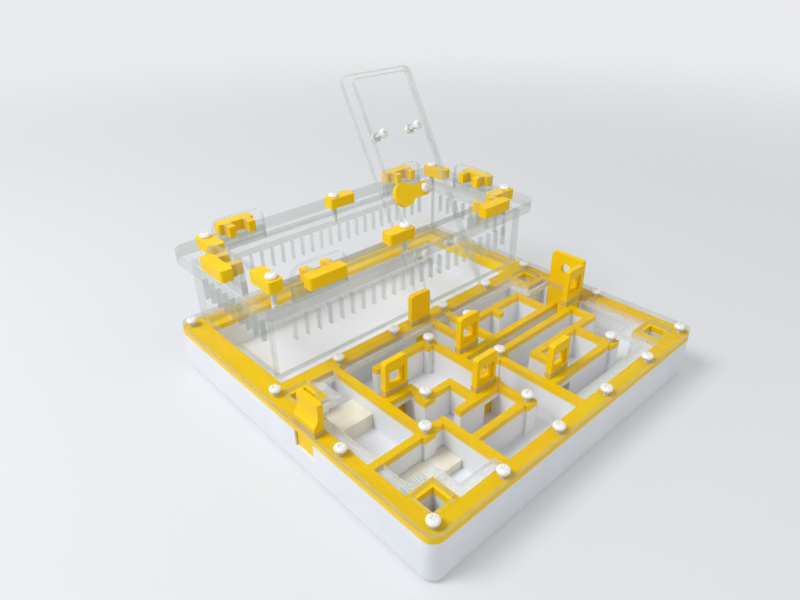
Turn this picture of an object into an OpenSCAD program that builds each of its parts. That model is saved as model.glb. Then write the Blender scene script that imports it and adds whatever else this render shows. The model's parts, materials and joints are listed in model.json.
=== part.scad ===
// Ant habitat: a white tray and nest under a clear cover, with yellow gates and a clear foraging box.
// Everything is drawn from the base's front corner, then moved so that the origin is under the middle.

/* [Base] */
// Side of the square base
base_w = 200; // [190:1:240]
// Radius of the base's upright corners
corner_r = 6; // [5:0.5:9]
// Height of the tray
tray_h = 10.4; // [8:0.1:12]
// Thickness of the tray's floor
tray_floor = 2.4; // [1.5:0.1:2.8]
// Thickness of the tray's wall
tray_wall = 3; // [2.5:0.1:3.6]
// Round along the tray's bottom edge
tray_round = 3.2; // [1:0.1:3.6]
// Gap between the tray's wall and the nest inside it
tray_gap = 0.2; // [0.1:0.05:0.4]

/* [Nest] */
// Height of the nest walls' tops
wall_top = 22.8; // [21.5:0.1:26]
// Height of the floor of the chambers and of the yard
chamber_floor = 8.3; // [7.5:0.1:9.5]
// Thickness of the nest's floor
nest_floor_t = 3; // [2:0.1:3.4]
// Thickness of the inner walls
wall_t = 3.8; // [2.5:0.1:4]
// Width of the rim at the front and left
rim_w = 8; // [7:0.1:9]
// Width of the rim at the right of the nest
right_rim_w = 8.4; // [8:0.1:10]
// Width of the rim behind the yard
yard_back_rim = 15; // [12:0.5:16]
// Width of the rim to the right of the yard
yard_right_rim = 17; // [14:0.5:18]
// Width of the rim to the left of the yard
yard_left_rim = 12.5; // [11:0.5:13.5]
// Depth of the bar between nest and yard
bar_w = 8.5; // [8:0.1:9.5]
// Ledge of the nest behind the bar, under the box's front wall
bar_ledge = 1.8; // [1:0.1:2.5]
// Side of the square screw bosses
boss_w = 7; // [6:0.1:8]
// Width of wall left beside a doorway under its gate
door_edge = 2; // [1.5:0.1:4]
// Height of the doorways
door_h = 12; // [8:0.5:13]
// Thickness of the left moisture pad
left_pad_t = 8.2; // [5:0.1:9]
// Thickness of the front moisture pad
front_pad_t = 4.6; // [3:0.1:7]
// Thickness of the wet sponge under the nest
sponge_t = 2.6; // [1:0.1:2.7]
// Gap between the sponge and the tray's wall
sponge_gap = 1; // [1:0.1:2]
// Gap round a moisture pad
pad_gap = 0.2; // [0.1:0.05:0.5]

/* [Wells] */
// Side of a well's square shaft
well_w = 9; // [7:0.5:10]
// Wall between a well and the rim
well_edge = 2; // [1.5:0.5:3]
// Wall between a well and its chamber
well_wall = 4; // [3:0.5:5]
// Side of the cover's hole over a well
well_mouth = 12; // [11:0.5:13]

/* [Frame and cover] */
// Thickness of the yellow frame
frame_t = 3.2; // [3:0.1:4]
// Thickness of the clear cover
cover_t = 3; // [2:0.1:4]
// Width of a water strip
strip_w = 5; // [4:0.5:6]
// Height of a water strip
strip_h = 2.8; // [2:0.1:3.5]
// Width of a comb slit
comb_slit = 0.6; // [0.4:0.1:0.8]
// Spacing of the comb slits
comb_pitch = 1.4; // [1.2:0.1:2]

/* [Screws] */
// Radius of a screw's shank
screw_r = 1.5; // [1.25:0.05:1.6]
// Length of a cover screw under its head
screw_l = 15; // [12:0.5:16]
// Radius of a screw's head
head_r = 2.95; // [2.7:0.05:3.2]
// Height of a screw's head
head_h = 2.1; // [1.6:0.1:2.6]
// Gap between a shank and its hole
screw_gap = 0.05; // [0.02:0.01:0.1]
// Depth of the cross in a screw's head
cross_h = 0.7; // [0.4:0.1:1]
// Width of the cross in a screw's head
cross_t = 0.7; // [0.5:0.1:1]
// Distance of the corner screws from the sides
corner_screw = 5.5; // [5:0.1:6]
// Distance of the other rim screws from the sides
rim_screw = 3.8; // [3.6:0.1:4.5]
// Distance from the sides of the screw behind the box's corner
back_screw = 4; // [3.8:0.1:4.2]

/* [Gates] */
// Thickness of a gate
gate_t = 3; // [2.5:0.1:3.4]
// Height of a gate
gate_h = 36; // [32:0.5:40]
// Gap round a gate and on sliding faces
gate_gap = 0.25; // [0.2:0.05:0.35]
// Width of a gate's finger window
window_w = 7; // [5:0.1:8]
// Height of a gate's finger window
window_h = 6.5; // [5:0.1:8]
// Distance of the window from the gate's top
window_drop = 7; // [5:0.1:9]
// Radius of a gate's top corners
gate_r = 1.6; // [0.5:0.1:2]
// Width of the raised border round the window
border_w = 1.6; // [1:0.1:2.4]
// Depth of the recess inside the border
border_h = 1.1; // [0.4:0.1:1.4]
// How far the middle gate stands raised
middle_lift = 2; // [0.5:0.5:4]
// How far the right gate stands raised
right_lift = 4; // [2:0.5:8]
// Distance of the right gate's middle from the rim
right_gate_in = 11.8; // [10:0.1:13]
// Width of a guide rib
rib_w = 1.6; // [1.2:0.1:2]

/* [Side ports] */
// Width of a side port
port_w = 14; // [10:0.5:15]
// Height of a side port's sill
port_sill = 13.5; // [12:0.5:17]
// Width of the left port's slide
slide_w = 15.6; // [15.4:0.1:17]
// Distance of the left slide's grip from the base's side
slide_inset = 3.6; // [3:0.1:3.8]
// Height of the left slide's grip
grip_h = 13.2; // [10:0.1:18]
// How far the left slide's body stands out before its grip
grip_foot = 2.4; // [1:0.1:2.4]
// Thickness of the grip's foot
foot_h = 1.2; // [0.8:0.1:2]
// Radius of the thumb hollow over the foot
thumb_r = 6; // [4:0.1:8]
// Width of the right port's slide
plate_w = 21.4; // [18:0.1:22]
// Height of the right port's slide
plate_h = 40.7; // [36:0.1:44]
// Radius of the right slide's top corners
plate_r = 2; // [0.5:0.1:3]
// Radius of the hole in the right slide
plate_hole_r = 3.7; // [3:0.1:5]
// Distance of that hole from the slide's top
plate_hole_drop = 9.5; // [7:0.1:11]

/* [Box] */
// Distance of the box from the base's left side
box_left = 11; // [10.5:0.1:12]
// Distance of the box from the base's right side
box_right_in = 7; // [7:0.1:10]
// Distance of the box from the base's back side
box_back_in = 6.5; // [6.5:0.1:9]
// Height of the box's walls
box_h = 36.6; // [30:0.1:45]
// Thickness of the box's walls
box_wall = 3; // [2:0.1:4]
// Width of a vent slit
slit_w = 1; // [0.8:0.1:1.6]
// Height of a vent slit
slit_h = 11.6; // [8:0.1:14]
// Spacing of the vent slits
slit_pitch = 7.05; // [6:0.05:9]
// Distance of the slits from the walls' tops
slit_drop = 8.4; // [6:0.1:10]

/* [Flange] */
// Thickness of one flange layer
layer_t = 3.6; // [3:0.1:4]
// Overhang of the flange past the walls
overhang = 7; // [6:0.1:7]
// Radius of the flange's corners
flange_r = 8; // [5:0.5:10]
// Width of a wall's tab
tab_w = 31; // [28:0.5:34]
// Height of a tab over the flange
tab_h = 10.7; // [9:0.1:13]
// Radius of a tab's corners
tab_r = 5; // [3:0.5:6]
// Distance between a long wall's tab and the latch screw beside it
tab_to_latch = 22.6; // [20:0.1:28]
// Gap between a tab and its slot
tab_gap = 0.15; // [0.1:0.05:0.3]

/* [Clips and latches] */
// Length of a clip
clip_l = 22; // [20:0.5:26]
// Depth of a clip's bar
clip_d = 6.7; // [5:0.1:6.8]
// Height of a clip
clip_h = 6.2; // [5:0.1:7]
// Width of a clip's prong
prong_w = 4; // [3:0.1:5]
// Distance of a prong from the clip's middle
prong_x = 6; // [5:0.1:8]
// How far a prong stands out of its tab
prong_out = 3.2; // [2:0.1:4]
// Length of a latch
latch_l = 18; // [15:0.1:18.5]
// Width of a latch
latch_w = 8; // [7:0.1:9]
// Height of a latch
latch_h = 6; // [4:0.1:7]
// Distance of a latch's screw from its end
latch_end = 4.5; // [4:0.1:5.5]
// Radius of the corners of clips and latches
small_r = 1.5; // [0.5:0.1:2]
// Distance of the latch screws from the flange's sides
latch_inset = 14.4; // [14.3:0.1:14.6]
// How far a latch screw reaches under the flange
latch_reach = 2.4; // [1:0.1:4]

/* [Lid] */
// Thickness of each of the lid's two plates
lid_t = 3.4; // [2.5:0.1:3.5]
// Radius of the lid's corners
lid_r = 5; // [3:0.5:8]
// Step between the two plates along the lid's sides
lid_step = 5.7; // [5:0.1:7]
// Step between the two plates at the lid's ends
lid_end = 3.6; // [3:0.1:5]
// Step of the flange's opening at its ends
ledge_end = 1.5; // [1:0.1:2.5]
// Gap between the lid and its opening
lid_gap = 0.3; // [0.2:0.05:0.6]
// Distance of the parked lid's foot from the yard's front
park_gap = 10.8; // [8:0.1:14]
// Radius of the feeding hole
feed_r = 3.6; // [2.5:0.1:4]
// Radius of the hole cover's round end
drop_r = 7.3; // [6:0.1:9]
// Radius of the hole cover's narrow end
drop_tip = 4.2; // [3:0.1:5]
// Thickness of the hole cover
drop_t = 3; // [1.5:0.1:3.4]
// Height of a nut
nut_h = 2.4; // [2:0.1:3]
// Width of a nut across its flats
nut_w = 5.5; // [5:0.1:6]

/* [Hidden] */
$fn = 48;

// Overrun of every cut
cut = 1;
// A half, for middles and radii
half = 1 / 2;

// Heights
nest_bottom = chamber_floor - nest_floor_t;
frame_top = wall_top + frame_t;
cover_top = frame_top + cover_t;
box_top = cover_top + box_h;
flange_mid = box_top + layer_t;
flange_top = flange_mid + layer_t;
tab_top = flange_top + tab_h;
strip_z = frame_top - strip_h;

// Lines of the plan, as shares of the base's side
bar_share = 0.5375;
row_shares = [0.1325, 0.2185, 0.2375, 0.304, 0.354, 0.458, 0.4695];
col_shares = [0.1955, 0.2535, 0.2805, 0.3655, 0.443, 0.456, 0.533, 0.5925, 0.616, 0.704, 0.792, 0.823, 0.877];
rows = base_w * row_shares;
cols = base_w * col_shares;
half_wall = wall_t * half;
bar_front = base_w * bar_share;
bar_back = bar_front + bar_w;
yard_front = bar_back + bar_ledge;
nest_right = base_w - right_rim_w;
yard_right = base_w - yard_right_rim;
yard_back = base_w - yard_back_rim;
well_block = well_edge + well_w + well_wall;

// Depths of the moisture pads
left_pad_share = 0.076;
front_pad_share = 0.058;

// Gates and their doorways
gate_share = 0.07;
gate_w = base_w * gate_share;
door_w = gate_w - 2 * door_edge;

// Inner walls: the ones that run away from the front, then the ones that run across
gate_room = gate_t + 2 * gate_gap;
slide_front = slide_inset - grip_foot;
slide_room = gate_room + grip_foot;
free_share = 0.31;
stub_share = 0.42;
long_walls = [
    [cols[0], rows[1], bar_front],
    [cols[1], rim_w, rows[1]],
    [cols[2], rows[3], rows[4]],
    [cols[3], rows[1], rows[3]],
    [cols[4], rows[0], rows[1]],
    [cols[5], rows[1] + half_wall, rows[6]],
    [cols[6], rim_w, rows[3]],
    [cols[6], rows[4] + half_wall + gate_room, bar_front],
    [cols[7], rows[4], bar_front],
    [cols[8], rows[0] + half_wall + gate_room, rows[2]],
    [cols[9], base_w * stub_share, rows[5]],
    [cols[10], rows[0], rows[2]],
    [cols[11], rows[4], rows[5]],
    [cols[12], rows[2], rows[3]]
];
f_end_share = 0.275;
g_end_share = 0.86;
cross_walls = [
    [rows[1], rim_w, cols[1]],
    [rows[0], cols[1], cols[4]],
    [rows[1], base_w * free_share, cols[5] - half_wall],
    [rows[3], cols[2], cols[3]],
    [rows[4], cols[0], cols[2]],
    [rows[6], base_w * f_end_share, cols[5]],
    [rows[4], cols[5], base_w * g_end_share],
    [rows[3], cols[6], cols[12]],
    [rows[5], cols[7], cols[11]],
    [rows[2], cols[8], cols[12]],
    [rows[0], cols[6], cols[10]]
];

// Screw bosses, at wall ends and crossings
bosses = [
    [cols[5] - half_wall, rows[6] - half_wall],
    [cols[6] + half_wall * half, rows[3] - half_wall],
    [cols[2], rows[3]],
    [cols[0], rows[1]],
    [cols[4], rows[0]],
    [cols[10] + half_wall, rows[0]],
    [cols[7] + boss_w * half, rows[5] + half_wall]
];

// Cover screws
screw_pitch = (base_w - 2 * corner_screw) / 5;
bar_screw = bar_front + rim_w / 3;
side_screw_share = 0.29;
cover_screw_places = concat(
    bosses,
    [[corner_screw, corner_screw], [base_w - corner_screw, corner_screw], [corner_screw, base_w - corner_screw]],
    [[base_w - back_screw, base_w - back_screw]],
    [for (i = [1:4]) [corner_screw + i * screw_pitch, rim_screw]],
    [for (i = [0:5]) [corner_screw + i * screw_pitch, bar_screw]],
    [for (x = [rim_screw, base_w - rim_screw]) [x, base_w * side_screw_share]]
);

// Gates that stand behind a wall: middle of the gate, then the wall's line
gate_x_shares = [0.246, 0.501, 0.41, 0.5835, 0.502];
gate_x = concat(base_w * gate_x_shares, [nest_right - right_gate_in]);
gate_places = [
    [gate_x[0], rows[4] + half_wall + gate_gap],
    [gate_x[1], rows[4] + half_wall + gate_gap],
    [gate_x[2], rows[1] + half_wall + gate_gap],
    [gate_x[3], rows[0] + half_wall + gate_gap],
    [gate_x[4], bar_front + gate_t * half],
    [gate_x[5], rows[3] + half_wall + gate_gap]
];
gate_z = chamber_floor + gate_gap;

// Side ports
left_port_share = 0.402;
right_port_share = 0.3765;
left_port_y = base_w * left_port_share;
right_port_y = base_w * right_port_share;
plate_x = nest_right - gate_gap - gate_t;

// Wells: the near corner of each shaft, and which way its chamber lies
well_near = rim_w + well_edge;
well_far_x = nest_right - well_edge - well_w;
well_far_y = bar_front - well_edge - well_w;
wells = [
    [well_near, well_near], [well_far_x, well_near],
    [well_near, well_far_y], [well_far_x, well_far_y]
];

// Box and flange
box_right = base_w - box_right_in;
box_w = box_right - box_left;
box_front = bar_back;
box_d = base_w - box_back_in - box_front;
box_back = box_front + box_d;
box_mid_x = box_left + box_w * half;
box_mid_y = box_front + box_d * half;
flange_w = box_w + 2 * overhang;
flange_d = box_d + 2 * overhang;
flange_x = box_left - overhang;
flange_y = box_front - overhang;
lid_l_share = 0.8375;
lid_w_share = 0.702;
lid_l = box_w * lid_l_share;
lid_w = box_d * lid_w_share;
opening_l = lid_l + 2 * lid_gap;
opening_w = lid_w + 2 * lid_gap;
lower_l = opening_l - 2 * ledge_end;
lower_w = opening_w - 2 * lid_step;
plug_r = lid_r * half;

// Clips
clip_z = flange_top + gate_gap;
hole_top = clip_z + clip_h + gate_gap;

// Latches
latch_z = flange_top + gate_gap;
latch_front_y = flange_y + latch_inset;
latch_back_y = flange_y + flange_d - latch_inset;
latch_left_x = flange_x + latch_inset;
latch_right_x = flange_x + flange_w - latch_inset;
tab_x = flange_w * half - latch_inset - tab_to_latch;
latch_places = [for (x = [latch_left_x, box_mid_x, latch_right_x], y = [latch_front_y, latch_back_y]) [x, y]];

// Parked lid: it leans back through the opening, and this is the back edge of its foot
lean_share = 0.164;
lid_right = box_mid_x + lower_l * half - lid_gap;
lid_left = lid_right - lid_w;
foot_y = yard_front + park_gap;
foot_z = chamber_floor + gate_gap;
lid_pass_y = box_mid_y + lean_share * lower_w;
lid_lean = atan2(lid_pass_y - foot_y, flange_mid - foot_z);
lid_top_y = foot_y + lid_l * sin(lid_lean);
plug_l = lid_l - 2 * lid_end;
plug_w = lower_w - 2 * lid_gap;
pair_w_share = 0.515;
pair_l_share = 0.5;
feed_share = 0.294;
pair_w = lid_w * pair_w_share;
pair_l = lid_l * pair_l_share;
feed_x = lid_w * feed_share;
lid_pairs = [for (u = [-1, 1], v = [-1, 1]) [u * pair_w * half, v * pair_l * half]];
drop_z = 2 * lid_t + gate_gap;

// Middle of the whole object, front to back
mid_x = base_w * half;
mid_y = max(base_w, lid_top_y) * half;

yellow = "#F2C100";
white = "#EEF0F2";
clear = [0.86, 0.9, 0.9, 0.35];
nylon = "#F3F0E8";
plaster = "#EFE9D8";

// A rectangle with round corners, centred
module rounded(w, d, r) {
    union() {
        square([w - 2 * r, d], center = true);
        square([w, d - 2 * r], center = true);
        for (x = [-1, 1], y = [-1, 1])
            translate([x * (w * half - r), y * (d * half - r)]) circle(r);
    }
}

// A wall between two places on one of the plan's lines, square at its ends
module long_wall(w) {
    translate([w[0] - half_wall, w[1]]) square([wall_t, w[2] - w[1]]);
}

module cross_wall(w) {
    translate([w[1] - half_wall, w[0] - half_wall]) square([w[2] - w[1] + wall_t, wall_t]);
}

// Outline of the inner walls, bosses and well blocks
module plan_walls() {
    for (w = long_walls) long_wall(w);
    for (w = cross_walls) cross_wall(w);
    for (b = bosses) translate(b) square(boss_w, center = true);
    well_blocks();
}

module well_blocks() {
    reach = well_block + half_wall;
    for (x = [rim_w - half_wall, nest_right - well_block], y = [rim_w - half_wall, bar_front - well_block])
        translate([x, y]) square(reach);
}

// Outline of the base
module base_outline(inset = 0) {
    translate([base_w * half, base_w * half])
        rounded(base_w - 2 * inset, base_w - 2 * inset, corner_r - inset);
}

// The open areas of the rim: the nest and the yard
module nest_area() {
    translate([rim_w, rim_w]) square([nest_right - rim_w, bar_front - rim_w]);
}

module yard_area(front, left) {
    translate([left, front]) square([yard_right - left, yard_back - front]);
}

module screw_holes(z0, z1) {
    for (p = cover_screw_places)
        translate([p[0], p[1], z0]) cylinder(r = screw_r + screw_gap, h = z1 - z0);
}

module well_shafts(z0, z1) {
    for (w = wells) translate([w[0], w[1], z0]) cube([well_w, well_w, z1 - z0]);
}

// A pan-head screw pointing down, with the seat of its head at the origin
module pan_screw(l) {
    dome = (head_r * head_r + head_h * head_h) / (2 * head_h);
    difference() {
        union() {
            intersection() {
                cylinder(r = head_r, h = head_h);
                translate([0, 0, head_h - dome]) sphere(dome);
            }
            translate([0, 0, -l]) cylinder(r = screw_r, h = l + head_h * half);
        }
        for (a = [0, 90])
            rotate([0, 0, a]) translate([-screw_r, -cross_t * half, head_h - cross_h])
                cube([2 * screw_r, cross_t, cross_h + cut]);
    }
}

// Tray
module tray_outer() {
    inner = base_w - corner_r;
    translate([0, 0, tray_round]) linear_extrude(tray_h - tray_round) base_outline();
    linear_extrude(tray_h) base_outline(tray_round);
    for (x = [corner_r, inner], y = [corner_r, inner])
        translate([x, y, tray_round]) rotate_extrude() tray_corner();
    for (y = [tray_round, base_w - tray_round])
        translate([corner_r, y, tray_round]) rotate([0, 90, 0]) cylinder(r = tray_round, h = inner - corner_r);
    for (x = [tray_round, base_w - tray_round])
        translate([x, corner_r, tray_round]) rotate([-90, 0, 0]) cylinder(r = tray_round, h = inner - corner_r);
}

module tray_corner() {
    intersection() {
        translate([corner_r - tray_round, 0]) circle(tray_round);
        translate([corner_r - tray_round, -tray_round]) square([tray_round, 2 * tray_round]);
    }
    translate([0, -tray_round]) square([corner_r - tray_round, 2 * tray_round]);
}

module base_tray() {
    color(white) difference() {
        tray_outer();
        translate([0, 0, tray_floor]) linear_extrude(tray_h) base_outline(tray_wall);
    }
}

// Nest
module gate_guides() {
    z = wall_top - chamber_floor;
    for (i = [0:3]) {
        p = gate_places[i];
        for (x = [p[0] - gate_w * half - gate_gap - rib_w, p[0] + gate_w * half + gate_gap])
            translate([x, p[1] - gate_gap, chamber_floor]) cube([rib_w, gate_t + gate_gap, z]);
    }
    for (y = [right_port_y - plate_w * half - gate_gap - rib_w, right_port_y + plate_w * half + gate_gap])
        translate([plate_x, y, chamber_floor]) cube([nest_right - plate_x, rib_w, z]);
}

module doorways() {
    for (i = [0:3]) {
        p = gate_places[i];
        translate([p[0] - door_w * half, p[1] - gate_gap - wall_t - cut, chamber_floor])
            cube([door_w, wall_t + 2 * cut, door_h]);
    }
}

module yard_doorway() {
    p = gate_places[4];
    translate([p[0] - door_w * half, bar_front - cut, chamber_floor])
        cube([door_w, yard_front - bar_front + 2 * cut, door_h]);
    translate([p[0] - gate_w * half - gate_gap, p[1] - gate_gap, chamber_floor])
        cube([gate_w + 2 * gate_gap, gate_room, wall_top - chamber_floor + cut]);
}

module side_ports() {
    translate([-cut, left_port_y - port_w * half, port_sill])
        cube([rim_w + 2 * cut, port_w, wall_top - port_sill]);
    translate([slide_front - gate_gap, left_port_y - slide_w * half - gate_gap, port_sill])
        cube([slide_room, slide_w + 2 * gate_gap, wall_top]);
    translate([nest_right - cut, right_port_y - port_w * half, port_sill])
        cube([right_rim_w + 2 * cut, port_w, wall_top - port_sill]);
}

module nest_floor() {
    color(white) difference() {
        translate([0, 0, nest_bottom]) linear_extrude(nest_floor_t) base_outline(tray_wall + tray_gap);
        well_shafts(nest_bottom - cut, wall_top);
        screw_holes(cover_top - screw_l, wall_top);
    }
}

module nest_rim() {
    color(white) difference() {
        union() {
            translate([0, 0, chamber_floor]) linear_extrude(tray_h - chamber_floor)
                base_outline(tray_wall + tray_gap);
            translate([0, 0, tray_h]) linear_extrude(wall_top - tray_h) base_outline();
        }
        translate([0, 0, chamber_floor - cut]) linear_extrude(wall_top) difference() {
            nest_area();
            well_blocks();
        }
        translate([0, 0, chamber_floor - cut]) linear_extrude(wall_top)
            yard_area(yard_front, yard_left_rim);
        well_shafts(nest_bottom, wall_top + cut);
        yard_doorway();
        side_ports();
        screw_holes(nest_bottom, wall_top + cut);
    }
}

// The walls of the front right chambers stand apart from the rest
module right_walls_area() {
    top = (rows[3] + rows[4]) * half;
    translate([cols[6] - boss_w, 0]) square([base_w - cols[6] + boss_w, top]);
}

module nest_walls() {
    color(white) difference() {
        inner_walls();
        translate([0, 0, nest_bottom]) linear_extrude(wall_top) right_walls_area();
    }
}

module nest_walls_right() {
    color(white) intersection() {
        inner_walls();
        translate([0, 0, nest_bottom]) linear_extrude(wall_top) right_walls_area();
    }
}

module inner_walls() {
    difference() {
        union() {
            translate([0, 0, chamber_floor]) linear_extrude(wall_top - chamber_floor) intersection() {
                plan_walls();
                nest_area();
            }
            gate_guides();
        }
        translate([0, 0, nest_bottom]) linear_extrude(wall_top) well_blocks();
        doorways();
        screw_holes(nest_bottom, wall_top + cut);
    }
}

// Wet sponge in the tray, fed through the wells
module reservoir_sponge() {
    inset = tray_wall + sponge_gap;
    color(plaster) translate([inset, inset, tray_floor]) cube([base_w - 2 * inset, bar_front - inset, sponge_t]);
}

// Plaster pads on the chamber floors
module moisture_pad_left() {
    w = cols[0] - half_wall - rim_w - 2 * pad_gap;
    d = base_w * left_pad_share;
    y = bar_front - well_block - pad_gap - d;
    color(plaster) translate([rim_w + pad_gap, y, chamber_floor]) cube([w, d, left_pad_t]);
}

module moisture_pad_front() {
    w = cols[1] - half_wall - rim_w - 2 * pad_gap;
    d = base_w * front_pad_share;
    y = rows[1] - half_wall - pad_gap - d;
    boss = boss_w + 2 * pad_gap;
    color(plaster) difference() {
        translate([rim_w + pad_gap, y, chamber_floor]) cube([w, d, front_pad_t]);
        translate([cols[0] - boss * half, rows[1] - boss * half, chamber_floor - cut])
            cube([boss, boss, front_pad_t + 2 * cut]);
    }
}

// Yellow frame over the wall tops
module frame_plan() {
    difference() {
        base_outline();
        nest_area();
        yard_area(bar_back, yard_left_rim);
    }
    plan_walls();
}

module top_frame() {
    color(yellow) difference() {
        translate([0, 0, wall_top]) linear_extrude(frame_t) frame_plan();
        well_shafts(wall_top - cut, frame_top + cut);
        screw_holes(wall_top - cut, frame_top + cut);
        gate_slots(wall_top - cut, frame_top + cut);
    }
}

// Slots of the gates, through the frame's bars and the cover
module gate_slots(z0, z1) {
    for (p = gate_places)
        translate([p[0] - gate_w * half - gate_gap, p[1] - gate_gap, z0])
            cube([gate_w + 2 * gate_gap, gate_room, z1 - z0]);
    translate([slide_front - gate_gap, left_port_y - slide_w * half - gate_gap, z0])
        cube([slide_room, slide_w + 2 * gate_gap, z1 - z0]);
    translate([plate_x - gate_gap, right_port_y - plate_w * half - gate_gap, z0])
        cube([gate_room, plate_w + 2 * gate_gap, z1 - z0]);
}

module cover_plate() {
    mouth = (well_mouth - well_w) * half;
    color(clear) difference() {
        translate([0, 0, frame_top]) linear_extrude(cover_t) difference() {
            base_outline();
            translate([box_left + box_wall, box_front + box_wall])
                square([box_w - 2 * box_wall, box_d - 2 * box_wall]);
            for (w = wells) translate([w[0] - mouth, w[1] - mouth]) square(well_mouth);
        }
        screw_holes(frame_top - cut, cover_top + cut);
        gate_slots(frame_top - cut, cover_top + cut);
    }
}

// Water strips, clear, under the cover along the outer walls and round the wells
module strip(a, b) {
    translate([a[0], a[1], strip_z]) cube([b[0] - a[0], b[1] - a[1], strip_h]);
}

module water_strip_left() {
    out = rim_w + well_block;
    top = bar_front - well_block;
    edge = cols[0] - half_wall;
    color(clear) {
        strip([rim_w, rows[1] + half_wall], [rim_w + strip_w, top]);
        strip([rim_w, top - strip_w], [out + strip_w, top]);
        strip([out, top - strip_w], [out + strip_w, bar_front]);
        strip([out, bar_front - strip_w], [edge, bar_front]);
    }
}

module water_strip_front() {
    out = rim_w + well_block;
    edge = cols[1] - half_wall;
    comb = well_w + well_wall;
    color(clear) difference() {
        union() {
            strip([rim_w, out], [rim_w + strip_w, rows[1] - half_wall]);
            strip([rim_w, out], [out + strip_w, out + strip_w]);
            strip([out, rim_w], [out + strip_w, out + strip_w]);
            strip([out, rim_w], [edge, rim_w + strip_w]);
        }
        for (x = [comb_pitch:comb_pitch:comb])
            translate([rim_w + x, out + comb_slit, strip_z - cut])
                cube([comb_slit, strip_w - 2 * comb_slit, strip_h + 2 * cut]);
    }
}

module water_strip_right() {
    near = nest_right - well_block;
    out = rim_w + well_block;
    color(clear) {
        strip([cols[6] + half_wall, rim_w], [near, rim_w + strip_w]);
        strip([near - strip_w, rim_w], [near, out + strip_w]);
        strip([near - strip_w, out], [nest_right, out + strip_w]);
        strip([nest_right - strip_w, out], [nest_right, rows[3] - half_wall]);
    }
}

module water_strip_back() {
    y = bar_front - strip_w;
    near = nest_right - well_block;
    low = bar_front - well_block;
    color(clear) {
        strip([cols[0] + half_wall, y], [cols[6] - half_wall, bar_front]);
        strip([cols[6] + half_wall, y], [cols[7] - half_wall, bar_front]);
        strip([cols[7] + half_wall, y], [near, bar_front]);
        strip([near - strip_w, low - strip_w], [near, bar_front]);
        strip([near - strip_w, low - strip_w], [nest_right, low]);
    }
}

module cover_screws() {
    color(nylon) for (p = cover_screw_places)
        translate([p[0], p[1], cover_top]) pan_screw(screw_l);
}

// A slide drawn flat, with round corners at its top
module slide_shape(w, h, r) {
    side = w * half - r;
    translate([-w * half, 0]) square([w, h - r]);
    translate([-side, 0]) square([2 * side, h]);
    for (x = [-side, side]) translate([x, h - r]) circle(r);
}

module gate_plate(place, lift) {
    translate([place[0], place[1] + gate_t, gate_z + lift]) rotate([90, 0, 0])
        linear_extrude(gate_t) slide_shape(gate_w, gate_h, gate_r);
}

// A gate with a finger window in a sunk panel
module window_gate(place, lift = 0) {
    panel_w = window_w + 2 * border_w;
    panel_h = window_h + 2 * border_w;
    mid = gate_h - window_drop - window_h * half;
    difference() {
        gate_plate(place, lift);
        translate([place[0], place[1], gate_z + lift + mid]) {
            translate([-window_w * half, -cut, -window_h * half]) cube([window_w, gate_t + 2 * cut, window_h]);
            translate([-panel_w * half, -cut, -panel_h * half]) cube([panel_w, border_h + cut, panel_h]);
        }
    }
}

module gate_west() {
    color(yellow) window_gate(gate_places[0]);
}

module gate_middle() {
    color(yellow) window_gate(gate_places[1], middle_lift);
}

module gate_south() {
    color(yellow) window_gate(gate_places[2]);
}

module gate_east() {
    color(yellow) window_gate(gate_places[3]);
}

module gate_yard() {
    color(yellow) gate_plate(gate_places[4], 0);
}

module gate_right() {
    color(yellow) window_gate(gate_places[5], right_lift);
}

module port_slide_left() {
    grip_z = cover_top + gate_gap;
    sill = port_sill + gate_gap;
    y = left_port_y - slide_w * half;
    color(yellow) union() {
        translate([slide_inset, y, sill]) cube([gate_t, slide_w, grip_z - sill + grip_h]);
        translate([slide_front, y, sill]) cube([grip_foot + gate_t * half, slide_w, grip_z - sill + foot_h]);
        translate([slide_inset, y + slide_w, grip_z]) rotate([90, 0, 0]) linear_extrude(slide_w) difference() {
            translate([-grip_foot, 0]) square([grip_foot + gate_t * half, foot_h + thumb_r]);
            translate([-thumb_r, foot_h + thumb_r]) circle(thumb_r);
        }
    }
}

module port_slide_right() {
    color(yellow) translate([plate_x, right_port_y, gate_z]) rotate([90, 0, 90])
        linear_extrude(gate_t) difference() {
            slide_shape(plate_w, plate_h, plate_r);
            translate([0, plate_h - plate_hole_drop]) circle(plate_hole_r);
        }
}

// A tab: a wall's upper part that stands through the flange
module tab_shape() {
    h = tab_top - box_top;
    translate([0, h * half - cut * half]) union() {
        square([tab_w, h + cut - 2 * tab_r], center = true);
        square([tab_w - 2 * tab_r, h + cut], center = true);
        for (x = [-1, 1]) translate([x * (tab_w * half - tab_r), (h + cut) * half - tab_r]) circle(tab_r);
        for (x = [-1, 1])
            translate([x * (tab_w - tab_r) * half, -(h + cut) * half + tab_r * half])
                square([tab_r, tab_r], center = true);
    }
}

// A wall drawn flat, with tabs at the given places and vent slits
module wall_shape(w, tabs) {
    slits = floor((w * half - slit_pitch) / slit_pitch);
    difference() {
        union() {
            translate([-w * half, 0]) square([w, box_h]);
            for (t = tabs) translate([t, box_h]) tab_shape();
        }
        for (i = [-slits:slits])
            translate([i * slit_pitch - slit_w * half, box_h - slit_drop - slit_h]) square([slit_w, slit_h]);
        for (t = tabs, s = [-1, 1])
            translate([t + s * prong_x - prong_w * half - gate_gap, flange_top - cover_top])
                square([prong_w + 2 * gate_gap, hole_top - flange_top]);
    }
}

module upright(x, y, turn) {
    translate([x, y, cover_top]) rotate([0, 0, turn]) rotate([90, 0, 0])
        translate([0, 0, -box_wall]) linear_extrude(box_wall) children();
}

module box_front_wall() {
    color(clear) upright(box_mid_x, box_front, 0) wall_shape(box_w, [-tab_x, tab_x]);
}

module box_back_wall() {
    color(clear) upright(box_mid_x, box_back - box_wall, 0) wall_shape(box_w, [-tab_x, tab_x]);
}

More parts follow.
